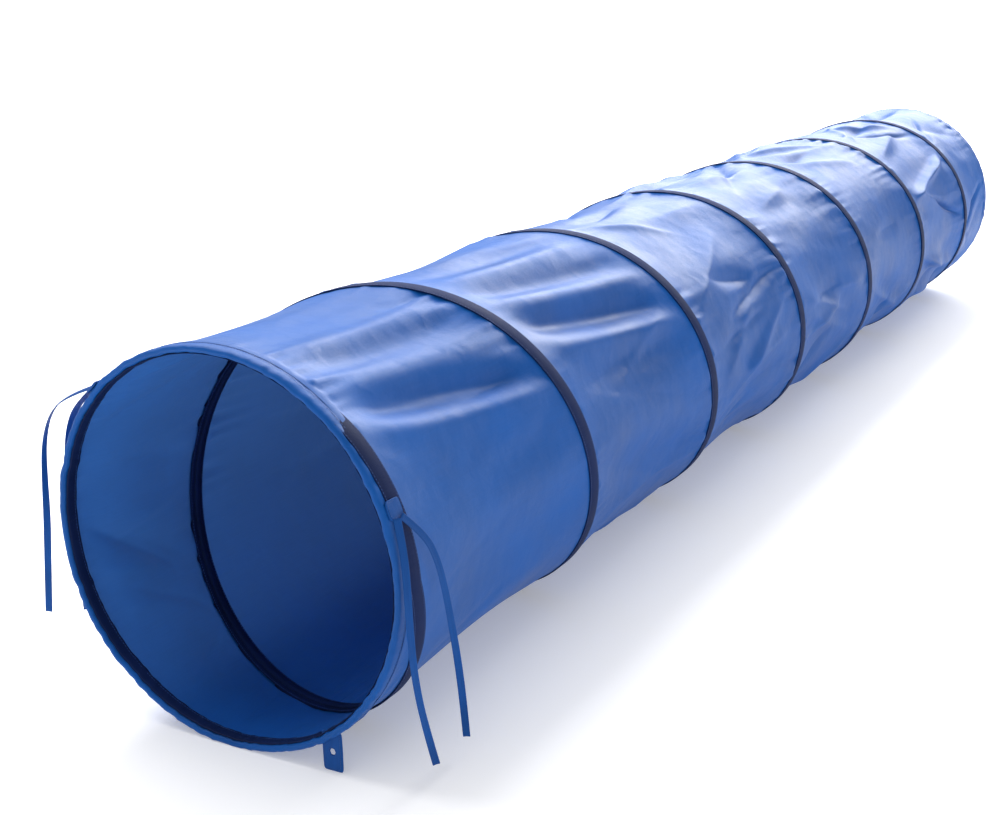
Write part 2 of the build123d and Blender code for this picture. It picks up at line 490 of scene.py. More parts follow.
def crumple_group():
    """Small creases and bruised patches, as on thin cloth that has been packed away."""
    tree = new_tree(
        "Crumple", "ShaderNodeTree",
        (("Vector", "NodeSocketVector", None), ("Size", "NodeSocketFloat", 26.0)),
        (("Height", "NodeSocketFloat", None), ("Patches", "NodeSocketFloat", None)),
    )
    given = add_node(tree, "NodeGroupInput").outputs
    bent = add_node(
        tree, "ShaderNodeTexNoise", Vector=given["Vector"], Scale=given["Size"], Detail=4.0,
    )
    moved = do_scale(tree, bent.outputs["Color"], 0.03)
    place = do_vector(tree, "ADD", given["Vector"], moved)
    cells = add_node(
        tree, "ShaderNodeTexVoronoi", {"feature": "SMOOTH_F1"},
        Vector=place, Scale=given["Size"], Smoothness=0.35,
    )
    small = do_math(tree, "MULTIPLY", add_noise(tree, place, 120.0, 3.0), 0.25)
    add_node(
        tree, "NodeGroupOutput", Height=do_math(tree, "ADD", cells.outputs["Distance"], small),
        Patches=add_noise(tree, given["Vector"], 7.0, 3.0),
    )
    return tree


def add_noise(tree, place, scale, detail, settings=None):
    node = add_node(
        tree, "ShaderNodeTexNoise", settings, Vector=place, Scale=scale, Detail=detail,
    )
    return node.outputs[0]


def object_place(tree):
    return add_node(tree, "ShaderNodeTexCoord").outputs["Object"]


def made_once(name):
    """Marks the builder of the material of that name, so that it is built only once."""
    def mark(build):
        def material():
            return bpy.data.materials.get(name) or build(name)
        return material
    return mark


def start_material(name):
    """A new material with its shader and output."""
    material = bpy.data.materials.new(name)
    material.use_nodes = True
    tree = material.node_tree
    tree.nodes.clear()
    shader = add_node(tree, "ShaderNodeBsdfPrincipled")
    output = add_node(tree, "ShaderNodeOutputMaterial", Surface=shader.outputs[0])
    return material, tree, shader, output


def use_group(tree, name, maker, **inputs):
    return add_node(tree, "ShaderNodeGroup", {"node_tree": tree_named(name, maker)}, **inputs)


def shaded(colour, share):
    return (colour[0] * share, colour[1] * share, colour[2] * share, 1.0)


def tone_ramp(tree, factor, dark, light, low=0.25, high=0.75):
    """A colour between two, as the factor goes from low to high."""
    ramp = add_node(tree, "ShaderNodeValToRGB", Fac=factor)
    for element, place, tone in zip(ramp.color_ramp.elements, (low, high), (dark, light)):
        element.position = place
        element.color = tone
    return ramp.outputs[0]


def spread(tree, noise, low, high):
    """A value from low to high, over the range that a noise mostly has."""
    node = add_node(
        tree, "ShaderNodeMapRange",
        Value=noise, From_Min=0.3, From_Max=0.7, To_Min=low, To_Max=high,
    )
    return node.outputs[0]


def chained_bumps(tree, shader, *heights):
    """Bump nodes one after another; each is a height, a strength and a distance in metres."""
    normal = None
    for height, strength, distance in heights:
        bump = add_node(
            tree, "ShaderNodeBump", Height=height, Strength=strength, Distance=distance,
        )
        if normal is not None:
            set_inputs(tree, bump, Normal=normal)
        normal = bump.outputs[0]
    set_inputs(tree, shader, Normal=normal)


def woven_surface(tree, shader, place, colour, threads, size, tones, roughness, bumps):
    """Gives a shader the colour, gloss and relief of crumpled woven cloth."""
    weave = use_group(tree, "Weave", weave_group, Vector=place, Threads_per_metre=threads)
    crumple = use_group(tree, "Crumple", crumple_group, Vector=place, Size=size)
    toned = do_math(tree, "ADD", crumple.outputs["Patches"], weave.outputs["Tone"])
    dark, light = (shaded(colour, share) for share in tones)
    set_inputs(
        tree, shader, Base_Color=tone_ramp(tree, toned, dark, light),
        Roughness=spread(tree, crumple.outputs["Patches"], *roughness),
    )
    creases_bump, weave_bump = bumps
    chained_bumps(
        tree, shader,
        (crumple.outputs["Height"], *creases_bump), (weave.outputs["Height"], *weave_bump),
    )


@made_once("blue_cloth")
def cloth_material(name):
    """Thin satin-faced nylon that lets some light through."""
    material, tree, shader, output = start_material(name)
    uv = add_node(tree, "ShaderNodeUVMap", {"uv_map": "Cloth"}).outputs[0]
    woven_surface(
        tree, shader, uv, cloth_values().blue, 1500.0, 30.0, (0.86, 1.14), (0.42, 0.54),
        ((0.45, 0.002), (0.25, 0.00012)),
    )
    set_inputs(
        tree, shader, Specular_IOR_Level=0.2,
        Sheen_Weight=0.02, Sheen_Roughness=0.3, Sheen_Tint=(0.4, 0.65, 1.0, 1.0),
    )
    through = add_node(tree, "ShaderNodeBsdfTranslucent", Color=(0.08, 0.2, 0.5, 1.0))
    both = add_node(
        tree, "ShaderNodeMixShader", Fac=0.13, i1=shader.outputs[0], i2=through.outputs[0],
    )
    set_inputs(tree, output, Surface=both.outputs[0])
    return material


def ribbed_material(name, colour, threads, roughness, by_object=False):
    """Woven tape with a rib across it, placed by its UV map or by the object."""
    material, tree, shader, _ = start_material(name)
    if by_object:
        place = object_place(tree)
    else:
        place = add_node(tree, "ShaderNodeUVMap", {"uv_map": "Cloth"}).outputs[0]
    woven_surface(
        tree, shader, place, colour, threads, 45.0, (0.75, 1.25),
        (roughness - 0.06, roughness + 0.08), ((0.2, 0.0008), (0.5, 0.00025)),
    )
    set_inputs(
        tree, shader, Specular_IOR_Level=0.08,
        Sheen_Weight=0.01, Sheen_Roughness=0.45, Sheen_Tint=(0.6, 0.75, 1.0, 1.0),
    )
    return material


@made_once("navy_binding")
def binding_and_painted_shade_material(name):
    return ribbed_material(name, tape_values().navy, 900.0, 0.7, by_object=True)


@made_once("navy_hem_tape")
def hem_material(name):
    return ribbed_material(name, tape_values().navy, 900.0, 0.5)


@made_once("tie_tape_weave")
def tie_material(name):
    return ribbed_material(name, tape_values().tape_blue, 1600.0, 0.38)


@made_once("tab_webbing_weave")
def webbing_material(name):
    return ribbed_material(name, tape_values().tape_blue, 700.0, 0.5)


@made_once("sewing_thread")
def thread_material(name):
    """Twisted sewing thread."""
    material, tree, shader, _ = start_material(name)
    fibres = add_noise(tree, object_place(tree), 900.0, 2.0)
    colour = tape_values().thread
    base = tone_ramp(tree, fibres, shaded(colour, 0.7), shaded(colour, 1.5))
    set_inputs(tree, shader, Base_Color=base, Roughness=0.5)
    chained_bumps(tree, shader, (fibres, 0.4, 0.0002))
    return material


def worn_material(name, grain, stain, colours, roughness, metallic, bump):
    """A hard surface with a fine grain, and stains that change its colour and gloss."""
    material, tree, shader, _ = start_material(name)
    place = object_place(tree)
    fine = add_noise(tree, place, *grain)
    coarse = add_noise(tree, place, stain, 4.0)
    set_inputs(
        tree, shader, Base_Color=tone_ramp(tree, coarse, *colours),
        Roughness=spread(tree, coarse, *roughness), Metallic=metallic,
    )
    chained_bumps(tree, shader, (fine, bump, 0.0001))
    return material


@made_once("spring_steel")
def steel_material(name):
    """Drawn spring wire with a thin dull oxide."""
    colours = ((0.2, 0.2, 0.21, 1), (0.5, 0.5, 0.52, 1))
    return worn_material(name, (400.0, 3.0), 25.0, colours, (0.28, 0.5), 1.0, 0.2)


@made_once("moulded_cap")
def cap_material(name):
    """The moulded plastic cap on the wire's free end."""
    colours = ((0.01, 0.01, 0.012, 1), (0.035, 0.035, 0.04, 1))
    return worn_material(name, (1200.0, 2.0), 90.0, colours, (0.38, 0.55), 0.0, 0.15)


# --- the cloth -----------------------------------------------------------------------------------
# Folds that run along the first turns of cloth, on the side that is seen first: the turn of cloth,
# the angle in degrees at its near edge and at its far edge, half its width in degrees, and its
# depth as a share of the fold depth. A negative depth stands out as a ridge.
LONG_FOLDS = (
    (1, 88, 92, 5.0, 0.30),
    (1, 97, 101, 4.5, 0.35),
    (1, 107, 109, 4.2, -0.45),
    (1, 114, 117, 4.6, 0.75),
    (1, 121, 131, 4.2, -0.35),
    (1, 130, 145, 4.8, 1.35),
    (1, 139, 151, 4.2, -0.65),
    (1, 158, 165, 7.0, 0.45),
    (1, 172, 178, 7.0, -0.30),
    (1, 196, 188, 8.0, 0.50),
    (1, 214, 206, 7.0, -0.35),
    (2, 92, 96, 4.5, 0.45),
    (2, 101, 107, 4.0, -0.50),
    (2, 110, 121, 4.4, 0.80),
    (2, 119, 131, 4.0, -0.60),
    (2, 128, 144, 4.8, 1.10),
    (2, 139, 152, 4.0, -0.60),
    (2, 154, 160, 6.5, 0.55),
    (2, 172, 188, 7.5, -0.40),
    (2, 186, 206, 7.0, 0.65),
)
CIRCUMFERENCE = 2 * math.pi * RADIUS
CELL_STRETCH = 1.2  # of a face of the cloth along the tunnel, to its size round it
FOLD_ENDS = 0.45  # how sharply a placed fold ends at the wire; less is sharper
PLACED_FROM, PLACED_TO = 0.62, 2.2  # the turns with placed folds, where loose ones are weaker
BEND_LENGTH, BROAD_LENGTH, MIDDLE_LENGTH = 0.42, 0.105, 0.048  # of the loose folds, round the cloth
GATHER_LENGTHS = (0.015, 0.0095)  # of the gathers beside the wire, round the cloth
GATHER_REACH = 0.04  # how far from the wire the gathers fade
SEWN_EDGE = 0.008  # over which the gathers rise beside the sewn cloth
GROUND_TURNS = 0.06  # how far round from the ground line the ground holds the cloth, in turns
SLACK_REACH = 0.11  # how far from the wire the folds reach their full depth
SEAM_TURN = 0.25  # the strips of cloth are joined end to end along the ground line
GROUND_LIFT = 0.0006
CREASES_PER_TURN = 24
CREASE_SLOPE = 0.3  # spread of how far a crease goes round, to how far it goes along
CREASE_REACH = (0.22, 0.55)  # half a crease's length, as a share of the turn's
CREASE_HALF_WIDTH = (0.007, 0.021)
SEWN_FLAT = 0.0105  # how far from the wire the cloth lies flat, sewn between the tapes


def from_ground(turn):
    """How far round from the ground line, in turns, at turns of the wire."""
    return np.abs((turn - SEAM_TURN + 0.5) % 1 - 0.5)


def long_folds(turn, share):
    """The folds of LONG_FOLDS, as shares of the fold depth."""
    depth = np.zeros_like(turn)
    for cloth_turn, near, far, half_width, size in LONG_FOLDS:
        centre = (near + (far - near) * share) / 360 - 0.5 + cloth_turn
        swell = 0.75 + 0.5 * np.sin(math.pi * share)
        away = (turn - centre) * 360 / (half_width * swell)
        depth += size * np.exp(-away * away) * np.sin(math.pi * share) ** FOLD_ENDS
    return depth


def creases(turn, share, seed):
    """Straight creases with pointed ends, most of them slanting between two turns of the wire."""
    rng = np.random.default_rng(seed)
    depth = np.zeros_like(turn)
    for _ in range(int(CREASES_PER_TURN * (TURNS + 1))):
        centre = rng.uniform(0, TURNS + 1)
        middle = rng.uniform(0.2, 0.8)
        slope = rng.normal(0, CREASE_SLOPE)
        reach = rng.uniform(*CREASE_REACH)
        half_width = rng.uniform(*CREASE_HALF_WIDTH)
        size = rng.choice((-1.0, 1.0)) * rng.uniform(0.3, 1.0)
        near = np.abs(turn[:, 0] - centre) < 0.25
        if not near.any():
            continue
        along = np.clip((share[near] - middle) / reach, -1, 1)
        line = centre * CIRCUMFERENCE + slope * (share[near] - middle) * PITCH
        away = np.abs(turn[near] * CIRCUMFERENCE - line) / (half_width * (1.25 - 0.6 * along**2))
        pointed = np.clip(1 - along**2, 0, 1) ** 1.2
        depth[near] += size * pointed * np.exp(-(away**1.5))
    return depth


def cloth_depth(turn, share, seed):
    """How far the cloth lies inside the wire's radius, in metres."""
    values = cloth_values()
    rng = np.random.default_rng(seed)
    round_it = turn * CIRCUMFERENCE
    far_away = turn / TURNS
    bend = lattice_noise(round_it / BEND_LENGTH, share * 1.3, rng) * 0.05
    bend = bend - bend.min()
    broad = lattice_noise((round_it + bend) / BROAD_LENGTH, share * 1.6 + 0.3, rng)
    middle = lattice_noise((round_it + 1.4 * bend) / MIDDLE_LENGTH, share * 3.2, rng)
    folds = 0.45 * broad + 0.2 * middle + (0.7 + 0.5 * far_away) * creases(turn, share, seed + 1)
    placed = smooth_step((turn - PLACED_FROM) * 12) * smooth_step((PLACED_TO - turn) * 8)
    folds = folds * (1 - 0.62 * placed) + long_folds(turn, share)
    edge = np.minimum(share, 1 - share) * PITCH
    reach = GATHER_REACH + 0.02 * lattice_noise(round_it / 0.06, share * 0, rng)
    fine = lattice_noise(round_it / GATHER_LENGTHS[0], share * 2.5, rng)
    fine += 0.7 * lattice_noise(round_it / GATHER_LENGTHS[1], share * 2.5, rng)
    strength = smooth_step(0.55 + 1.2 * lattice_noise(round_it / 0.11, share * 0, rng))
    held = smooth_step((edge - SEWN_FLAT) / SEWN_EDGE)
    puckers = fine * np.exp(-edge / reach) * (0.3 + strength) * held
    slack = smooth_step(edge / SLACK_REACH) ** 0.8
    off_ground = 1 - np.exp(-((from_ground(turn) / GROUND_TURNS) ** 2))
    bow = np.clip((edge - SEWN_FLAT) / (PITCH / 2 - SEWN_FLAT), 0, 1)
    sag = values.sag * np.sin(math.pi / 2 * bow) ** 0.75 * off_ground
    folded = values.fold_depth * folds * slack * (1 + 0.3 * far_away)
    return sag + folded * (0.35 + 0.65 * off_ground) + values.pucker_depth * puckers


def bound_x(turn):
    """Where the cloth starts and ends along the tunnel: at two turns of the wire, or at a hem."""
    near = np.maximum(HELIX_START + PITCH * (turn - 1), MOUTH_X + HEM_LENGTH)
    far = np.minimum(HELIX_START + PITCH * turn, FAR_X - HEM_LENGTH)
    return near, far


def cloth_strip(start, end):
    """One strip of cloth, from one angle of the wire to another, as points and a UV map."""
    cell = cloth_values().cell
    along = np.linspace(start, end, int((end - start) * CIRCUMFERENCE / cell) + 1)
    across = np.linspace(0, 1, int(PITCH / (CELL_STRETCH * cell)) + 1)
    turn, share = np.meshgrid(along, across, indexing="ij")
    near, far = bound_x(turn)
    x = near + (far - near) * share
    narrow = np.clip((far - near) / PITCH, 0, 1)
    depth = cloth_depth(turn, share, cloth_values().seed) * narrow**0.7
    points = ring_point(x, START_ANGLE + 2 * math.pi * turn, RADIUS - depth)
    ground = GROUND_LIFT + 0.00015 * np.sin(x * 90)
    points[..., 2] = np.maximum(points[..., 2], ground)
    return points, np.stack([turn * CIRCUMFERENCE, x], axis=-1)


def strip_ends():
    """Where each strip of cloth starts and ends, in turns of the wire."""
    joins = [number + SEAM_TURN for number in range(1, len(PANELS))]
    return list(zip([0.0, *joins], [*joins, TURNS + 1]))


class TUNNEL_OT_cloth(bpy.types.Operator):
    """Makes the strips of cloth between the turns of the wire"""

    bl_idname = "tunnel.cloth"
    bl_label = "Cloth"

    def execute(self, context):
        material = cloth_material()
        for number, (start, end) in enumerate(strip_ends()):
            points, uv = cloth_strip(start, end)
            name = f"cloth_strip_{number + 1}"
            piece = add_piece(name, grid_mesh(name, points, uv), material)
            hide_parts(PANELS[number])
            close_with_turn(piece, number)
        return {"FINISHED"}


# --- wire, casing and seams ----------------------------------------------------------------------
LEAD_OUT_TURNS = 0.16  # how much of the lead-out the casing also covers
LEAD_OUT_ANGLE = 0.25  # the turns in which the wire goes from the helix to beside the rim
LEAD_OUT_REST = 0.004  # how far from the rim the wire then is
PATH_STEPS = 200  # points of a path in one turn
WIRE_INSET = 0.0052  # from the outside of the cloth to the middle of the wire
TAPE_LIFT = 0.001  # of the middle of the outside tape above the ground
TAPE_SINK = 0.0045  # how far the tape goes in under the hem at its two ends
TUBE_WIDTH = 0.0085  # of the casing where it goes round the wire
# The inside tape is navy as well: partly the casing's own colour, partly painted shade where the
# casing blocks the light that comes through the cloth.
LINING_SHARE = 0.94  # width of the inside tape to the outside one
CASING_LAYERS = (  # name, radius to its middle, thickness, radius of its edges
    ("tape", RADIUS + 0.0004, 0.0016, 0.0007),
    ("lining", RADIUS - 0.0034, 0.0014, 0.0006),
    ("tube", RADIUS - WIRE_INSET, 0.0050, 0.0024),
)
SEAM_RADII = (RADIUS + 0.0012, RADIUS - 0.0042)  # of the stitches outside and inside
SEAM_INSET = 0.0019  # from the tape's edge to its stitches
SEAM_GAP = 0.0009  # between two stitches of a seam
THREAD = 0.0007  # the sewing thread's width


def helix_x(turn):
    """Where the wire is along the tunnel; it runs flat beside the hems past both of its ends."""
    lead = (HELIX_START - MOUTH_X - LEAD_OUT_REST) / LEAD_OUT_ANGLE
    main = HELIX_START + PITCH * np.clip(turn, 0, TURNS)
    return main + lead * (np.minimum(turn, 0) + np.maximum(turn - TURNS, 0))


def helix_path(start, end, radius, shift=0.0):
    """The wire's path, from one turn to another, moved along the tunnel by shift."""
    turn = np.linspace(start, end, max(int((end - start) * PATH_STEPS), 2))
    beyond = np.maximum(-turn, turn - TURNS) / LEAD_OUT_TURNS
    sunk = TAPE_SINK * smooth_step((beyond - 0.7) / 0.3)
    path = ring_point(helix_x(turn) + shift, START_ANGLE + 2 * math.pi * turn, radius - sunk)
    path[:, 2] = np.maximum(path[:, 2], TAPE_LIFT)
    return path


def turn_ends(number, reach=0.0):
    """Where a length of casing starts and ends, in turns; the first and last reach further."""
    start = number - (reach if number == 0 else 0)
    end = min(number + 1, TURNS) + (reach if number == len(PANELS) - 1 else 0)
    return start, end


class TUNNEL_OT_casing(bpy.types.Operator):
    """Makes the binding tape that covers the wire, inside and outside the cloth; its navy is partly
    the tape's own colour and partly painted shade, as it is laid wider than the tape over the shaded
    groove beside the wire
    """

    bl_idname = "tunnel.casing"
    bl_label = "Wire casing"

    def execute(self, context):
        tree = tree_named("Tape along path", tape_tree)
        width = tape_values().casing_width
        widths = {"tape": width, "lining": width * LINING_SHARE, "tube": TUBE_WIDTH}
        for number in range(len(PANELS)):
            start, end = turn_ends(number, LEAD_OUT_TURNS)
            for layer, radius, thickness, edge in CASING_LAYERS:
                piece = along_paths(
                    f"casing_{layer}_{number + 1}", [helix_path(start, end, radius)], tree,
                    binding_and_painted_shade_material(), Width=widths[layer], Thickness=thickness, Edge_radius=edge,
                )
                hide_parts(f"wire_casing_{number + 1}")
                close_with_turn(piece, number)
        return {"FINISHED"}


class TUNNEL_OT_wire(bpy.types.Operator):
    """Makes the turns of the spring wire inside the casing"""

    bl_idname = "tunnel.wire"
    bl_label = "Spring wire"

    def execute(self, context):
        tree = tree_named("Wire along path", wire_tree)
        for number in range(len(PANELS)):
            start, end = turn_ends(number)
            path = helix_path(start, end, RADIUS - WIRE_INSET)
            piece = along_paths(
                f"spring_turn_{number + 1}", [path], tree, steel_material(),
                Radius=tape_values().wire_radius, Sides=10,
            )
            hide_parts(f"wire_turn_{number + 1}")
            close_with_turn(piece, number)
        return {"FINISHED"}


def sew(name, paths, spacing, length, thread, seed):
    """Rows of stitches along paths, as one piece."""
    return along_paths(
        name, paths, tree_named("Stitches along path", stitch_tree), thread_material(),
        Spacing=spacing, Length=length, Thread=thread, Seed=seed,
    )


def sew_seam(name, paths, seed):
    """A seam with the stitches that the user chose."""
    length = tape_values().stitch_length
    return sew(name, paths, length + SEAM_GAP, length, THREAD, seed)


class TUNNEL_OT_stitches(bpy.types.Operator):
    """Sews the casing to the cloth with two rows of stitches outside and two inside"""

    bl_idname = "tunnel.stitches"
    bl_label = "Stitches"

    def execute(self, context):
        side = tape_values().casing_width / 2 - SEAM_INSET
        for number in range(len(PANELS)):
            start, end = turn_ends(number, LEAD_OUT_TURNS)
            rows = [
                helix_path(start, end, radius, shift)
                for radius in SEAM_RADII for shift in (-side, side)
            ]
            piece = sew_seam(f"casing_stitches_{number + 1}", rows, number)
            close_with_turn(piece, number)
        return {"FINISHED"}


# --- hems ----------------------------------------------------------------------------------------
HEM_SECTION = (  # along the tunnel from the rim and in from the outside, in metres
    (0.0185, 0.0006), (0.0160, 0.0002), (0.0125, 0.0000), (0.0095, -0.0002), (0.0065, -0.0001),
    (0.0040, 0.0002), (0.0020, 0.0009), (0.0007, 0.0022), (0.0001, 0.0040), (0.0003, 0.0060),
    (0.0014, 0.0077), (0.0034, 0.0087), (0.0060, 0.0091), (0.0090, 0.0092), (0.0125, 0.0092),
    (0.0160, 0.0090), (0.0200, 0.0078), (0.0225, 0.0040), (0.0215, 0.0018),
)
BINDING_SECTION = (
    (0.0035, 0.0100), (0.0070, 0.0107), (0.0110, 0.0109), (0.0150, 0.0108), (0.0185, 0.0105),
    (0.0215, 0.0096), (0.0195, 0.0086), (0.0120, 0.0088), (0.0050, 0.0090),
)
HEM_WAVE, BINDING_WAVE = 0.0012, 0.0008  # depth of the gathers
HEM_STRAY = 0.0010  # how far the hem's edges wander along the tunnel
HEM_SEED, HEM_STITCH_SEED = 20, 60
HEM_STITCHES = ((0.0148, -0.0004), (0.0172, 0.0109))  # rows, placed as the sections are
HEM_STEPS = 760
STITCH_STEPS = 600
HEM_NOISE_CELLS = 400
JOIN_ANGLE = 5.9  # from here to a full turn the gathers blend back to the first one
GATHER_SIZES = (0.0115, 0.0062)
DRIFT_SIZE = 0.085


def above_ground(points):
    points[..., 2] = np.maximum(points[..., 2], GROUND_LIFT)
    return points


def rim_x(side):
    return MOUTH_X if side > 0 else FAR_X


def hem_ring(section, seed, side, wave):
    """A ring from a section, gathered with waves; side is 1 at the mouth and -1 at the far end."""
    rng = np.random.default_rng(seed)
    angle = np.linspace(0, 2 * math.pi, HEM_STEPS, endpoint=False)
    round_it = angle * RADIUS
    close = smooth_step((angle - JOIN_ANGLE) / (2 * math.pi - JOIN_ANGLE))

    def closed(size):
        values = rng.uniform(-1, 1, HEM_NOISE_CELLS)
        at = round_it / size
        cell = np.floor(at).astype(int)
        part = smooth_step(at - cell)
        noise = values[cell] * (1 - part) + values[cell + 1] * part
        return noise * (1 - close) + values[0] * close

    gather = 0.75 * closed(GATHER_SIZES[0]) + 0.5 * closed(GATHER_SIZES[1])
    drift = closed(DRIFT_SIZE)
    rows = []
    for place, (along, inward) in enumerate(section):
        phase = place / (len(section) - 1)
        ripple = wave * gather * (0.35 + 0.65 * math.sin(math.pi * phase) ** 2)
        edge = HEM_STRAY * (drift + 0.6 * gather) * (0.3 + 0.7 * abs(math.cos(math.pi * phase)))
        x = rim_x(side) + side * (along + edge)
        turned = angle if side > 0 else angle + math.pi
        rows.append(above_ground(ring_point(x, turned, RADIUS - inward - ripple)))
    points = np.stack(rows, axis=0)
    lengths = np.cumsum([0] + [math.dist(a, b) for a, b in zip(section, section[1:])])
    uv = np.stack(np.meshgrid(lengths, round_it, indexing="ij"), axis=-1)
    return points, uv


def ring_piece(name, section, seed, side, wave, material):
    points, uv = hem_ring(section, seed, side, wave)
    mesh = grid_mesh(name, points, uv, close_rows=True, close_columns=True)
    mend(mesh)
    return add_piece(name, mesh, material)


class TUNNEL_OT_hems(bpy.types.Operator):
    """Makes the gathered hem at each end, with its binding inside and its stitching"""

    bl_idname = "tunnel.hems"
    bl_label = "Hems"

    def execute(self, context):
        angle = np.linspace(0, 2 * math.pi, STITCH_STEPS)
        for number, (end, side) in enumerate((("mouth", 1), ("far", -1))):
            seed = HEM_SEED + number
            rolled = ring_piece(
                f"{end}_rolled_hem", HEM_SECTION, seed, side, HEM_WAVE, cloth_material(),
            )
            binding = ring_piece(
                f"{end}_hem_binding", BINDING_SECTION, seed, side, BINDING_WAVE, hem_material(),
            )
            rows = [
                above_ground(ring_point(rim_x(side) + side * along, angle, RADIUS - inward))
                for along, inward in HEM_STITCHES
            ]
            stitches = sew_seam(f"{end}_hem_stitches", rows, HEM_STITCH_SEED + number)
            for piece in (rolled, binding):
                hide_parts(f"{end}_hem")
            for piece in (rolled, binding, stitches):
                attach(piece, f"{end}_end")
        return {"FINISHED"}


class TUNNEL_OT_fittings(bpy.types.Operator):
    """Gives the end rings, the lead-out wires and the wire caps their finish"""

    bl_idname = "tunnel.fittings"
    bl_label = "End rings and caps"

    def execute(self, context):
        finishes = {
            "ring_wire": steel_material, "lead_out_wire": steel_material, "wire_cap": cap_material,
        }
        for end in ("mouth", "far"):
            for part, finish in finishes.items():
                node = bpy.data.objects[f"{end}_{part}"]
                node.data.materials.clear()
                node.data.materials.append(finish())
        return {"FINISHED"}


# --- ties, patches and tabs ----------------------------------------------------------------------
# Each tie's route: along the tunnel from the mouth's rim, across and up, in metres. Its length
# follows, then its turning about itself, in degrees, at its start, middle and end.
TIES = {
    "left_front": (
        ((0.007, 0.184, 0.4265), (0.005, 0.222, 0.412), (0.003, 0.250, 0.388), (0.002, 0.265, 0.348),
         (0.001, 0.269, 0.300), (0.001, 0.272, 0.250), (0.000, 0.278, 0.190), (-0.001, 0.285, 0.120)),
        0.3392, (-25, -15, 15, 55, 66),
    ),
    "left_back": (
        ((0.016, 0.184, 0.4265), (0.020, 0.216, 0.402), (0.026, 0.240, 0.374), (0.030, 0.254, 0.336),
         (0.032, 0.260, 0.292), (0.033, 0.262, 0.243), (0.036, 0.262, 0.190), (0.039, 0.259, 0.112)),
        0.3330, (10, 30, 70, 90, 60),
    ),
    "right_front": (
        ((0.013, -0.2425, 0.331), (0.007, -0.254, 0.292), (0.003, -0.259, 0.247),
         (0.004, -0.260, 0.195), (0.012, -0.259, 0.140), (0.029, -0.258, 0.080),
         (0.053, -0.257, 0.017)),
        0.3123, (50, 40, 30, 25, 48),
    ),
    "right_back": (
        ((0.022, -0.2425, 0.331), (0.047, -0.256, 0.303), (0.064, -0.261, 0.267),
         (0.077, -0.262, 0.222), (0.090, -0.261, 0.175), (0.103, -0.260, 0.122),
         (0.113, -0.259, 0.070), (0.119, -0.259, 0.021)),
        0.3208, (10, 20, 30, 54, 66),
    ),
}
TIE_STEPS = 110
TIE_SECTION_POINTS = 12
TIE_CUP = 0.0007  # how far a tie's edges stand off its middle


def route_points(name, route):
    """The smooth line of a route, as the points of its NURBS spline."""
    curve = bpy.data.curves.new(name, "CURVE")
    curve.dimensions = "3D"
    curve.resolution_u = 14
    spline = curve.splines.new("NURBS")
    spline.points.add(len(route) - 1)
    for point, (along, across, up) in zip(spline.points, route):
        point.co = (MOUTH_X + along, across, up, 1.0)
    spline.order_u = 3
    spline.use_endpoint_u = True
    line = add_object(name, curve)
    graph = bpy.context.evaluated_depsgraph_get()
    graph.update()
    mesh = bpy.data.meshes.new_from_object(line.evaluated_get(graph))
    points = np.array([vertex.co[:] for vertex in mesh.vertices])
    bpy.data.meshes.remove(mesh)
    bpy.data.objects.remove(line)
    bpy.data.curves.remove(curve)
    return points


def even_points(points, count):
    """Points at even distances along a line of points, and the line's length."""
    steps = np.linalg.norm(np.diff(points, axis=0), axis=1)
    along = np.concatenate([[0], np.cumsum(steps)])
    wanted = np.linspace(0, along[-1], count)
    even = [np.interp(wanted, along, points[:, axis]) for axis in range(3)]
    return np.stack(even, axis=1), along[-1]


def ribbon(name, line, length, twists, width, thickness):
    """A flat tape along a line, turned about it and a little cupped, with cut ends."""
    share = np.linspace(0, 1, len(line))
    tangent = np.gradient(line, axis=0)
    tangent /= np.linalg.norm(tangent, axis=1, keepdims=True)
    side = np.cross(tangent, np.array([[1.0, 0.0, 0.0]]))
    side /= np.linalg.norm(side, axis=1, keepdims=True)
    other = np.cross(side, tangent)
    turn = np.radians(np.interp(share, np.linspace(0, 1, len(twists)), twists))
    flat = side * np.sin(turn)[:, None] + other * np.cos(turn)[:, None]
    face = np.cross(tangent, flat)
    around = np.linspace(0, 2 * math.pi, TIE_SECTION_POINTS, endpoint=False)
    across = np.sign(np.cos(around)) * np.abs(np.cos(around)) ** 0.45 * width / 2
    thick = np.sign(np.sin(around)) * np.abs(np.sin(around)) ** 0.6 * thickness / 2
    cupped = (across / width * 2) ** 2 * TIE_CUP - TIE_CUP / 2
    points = (
        line[:, None, :]
        + flat[:, None, :] * across[None, :, None]
        + face[:, None, :] * (thick + cupped)[None, :, None]
    )
    uv = np.stack(np.broadcast_arrays(across[None, :], (share * length)[:, None]), axis=-1)
    mesh = grid_mesh(name, points, uv, close_columns=True)
    mend(mesh, fill_ends=True)
    mesh.shade_smooth()
    return mesh


class TUNNEL_OT_ties(bpy.types.Operator):
    """Makes the flat ties that hang from both sides of the mouth"""

    bl_idname = "tunnel.ties"
    bl_label = "Ties"

    def execute(self, context):
        values = tape_values()
        for name, (route, length, twists) in TIES.items():
            line, drawn = even_points(route_points(f"{name}_route", route), TIE_STEPS)
            mesh = ribbon(
                f"tie_{name}", line, drawn, twists, values.tie_width, values.tie_thickness,
            )
            tie = add_piece(f"tie_{name}", mesh, tie_material())
            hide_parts(f"tie_tape_{name}")
            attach(tie, "mouth_end")
        return {"FINISHED"}


SAME_POINT = 1e-6
PLATE_STEPS = np.concatenate(  # from a sewn piece's hole to its edge, closer at both
    [np.linspace(0, 0.08, 3), np.linspace(0.14, 0.9, 12), (0.94, 0.975, 1.0)],
)
PLATE_POINTS = 96
PLATE_WAVE, PLATE_WAVE_SIZE = 0.0005, 0.011


